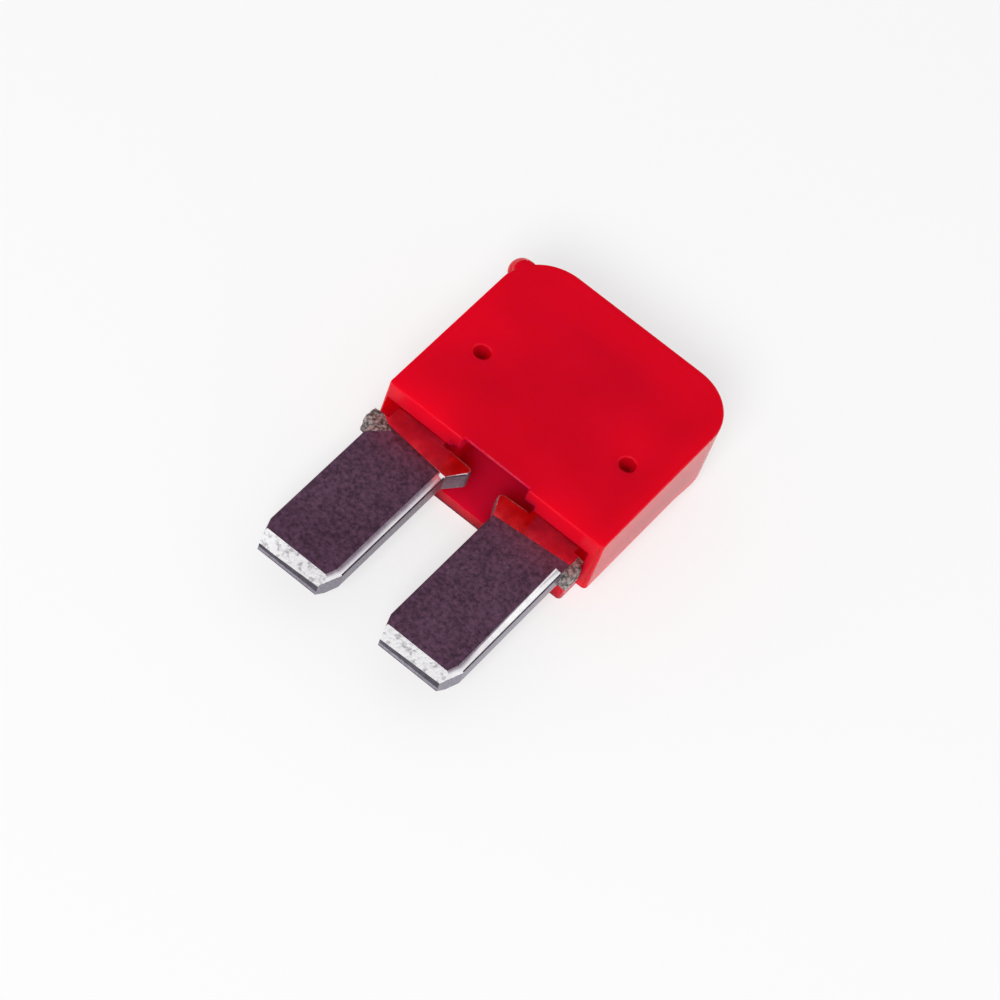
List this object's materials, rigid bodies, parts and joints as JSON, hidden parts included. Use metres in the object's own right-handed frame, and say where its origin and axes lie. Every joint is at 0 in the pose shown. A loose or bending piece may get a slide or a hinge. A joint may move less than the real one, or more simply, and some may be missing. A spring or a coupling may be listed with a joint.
{
  "type": "automotive blade fuse",
  "caption": "Small flat plug-in fuse: a translucent red moulded cap over a stamped metal element whose flat blades with bevelled tips stand out of its open lower end.",
  "frame": {"origin": "on the back rest plane, under the middle of the bounding box", "axes": "+X across the blades, +Y from the blade tips to the head, +Z out of the front face"},
  "size_m": [0.0094, 0.0154, 0.0038],
  "materials": {
    "cap_plastic": "translucent red thermoplastic, moulded, smooth",
    "fuse_metal": "stamped and coined zinc alloy, plated, grey"
  },
  "bodies": {
    "root": {"housing": "cap_plastic", "fuse_element": "fuse_metal"}
  },
  "joints": []
}
